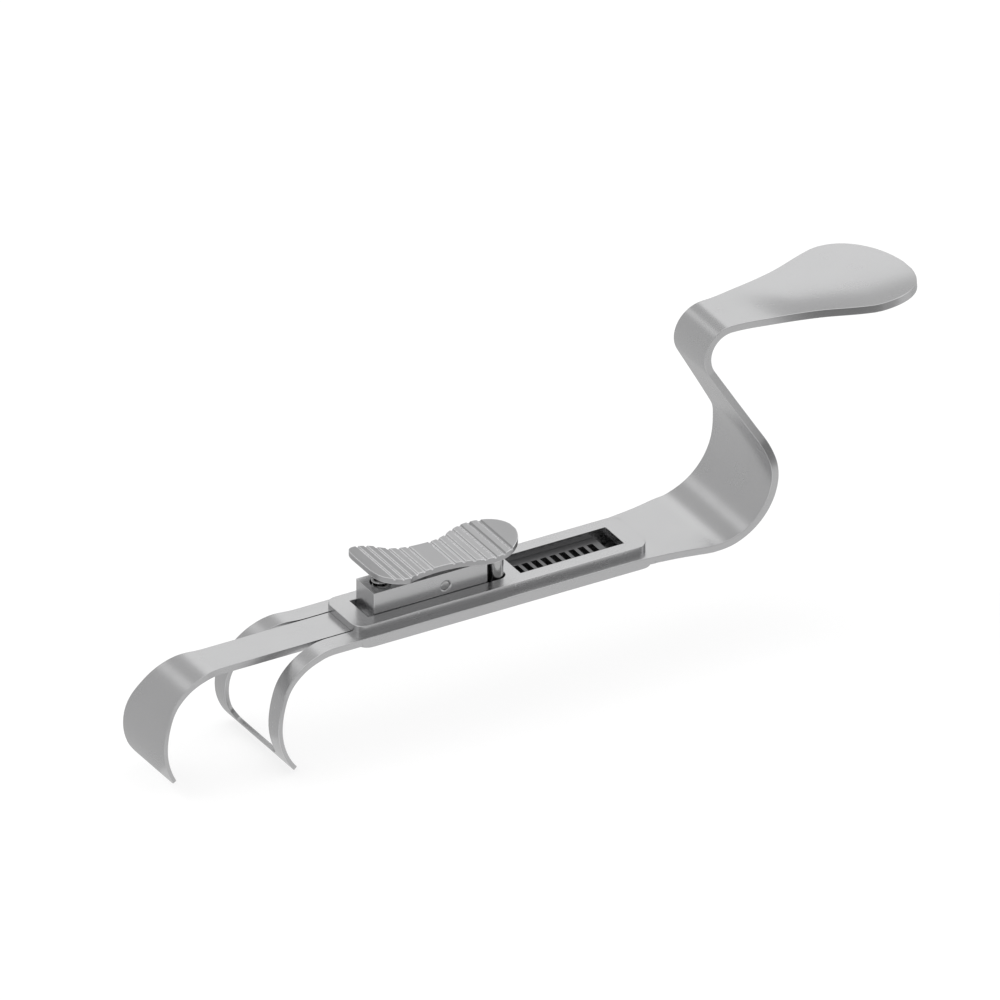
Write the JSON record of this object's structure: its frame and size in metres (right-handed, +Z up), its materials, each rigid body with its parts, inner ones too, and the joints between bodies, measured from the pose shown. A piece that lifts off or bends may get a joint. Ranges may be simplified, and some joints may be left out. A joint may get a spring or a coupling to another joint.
{
  "type": "cheek retractor",
  "caption": "Bent sheet steel cheek retractor with a fixed open hook, a sliding centre blade on a rack, a spring thumb lever with pawl, and a spoon-ended handle.",
  "frame": {"origin": "centre of the bottom plate's underside", "axes": "+X from the hooks to the handle, +Y across the sheet, +Z up from the bottom plate to the lever"},
  "size_m": [0.2206, 0.034, 0.0868],
  "materials": {
    "satin_steel": "satin, bead-blasted and lightly polished",
    "polished_steel": "polished",
    "spring_steel": "drawn wire"
  },
  "bodies": {
    "frame": {"base_frame": "satin_steel", "cover_plate": "satin_steel", "bottom_plate": "satin_steel", "bearing_block": "satin_steel", "pivot_pin": "polished_steel", "plate_screws": "polished_steel", "lever_spring": "spring_steel"},
    "blade": {"slider_blade": "satin_steel"},
    "lever": {"lever_pad": "satin_steel", "lever_lug": "satin_steel", "pawl": "polished_steel"}
  },
  "joints": [
    {"name": "blade_slide", "type": "slide", "parent": "frame", "child": "blade", "axis": [-1, 0, 0], "range_m": [-0.00538, 0.0269]},
    {"name": "lever_press", "type": "hinge", "parent": "frame", "child": "lever", "pos_m": [-0.0144, 0, 0.00733], "axis": [0, -1, 0], "range_deg": [0, 8], "stiffness_Nm_per_rad": 0.31, "springref_deg": -5.96, "deforming": ["lever_spring"]}
  ]
}
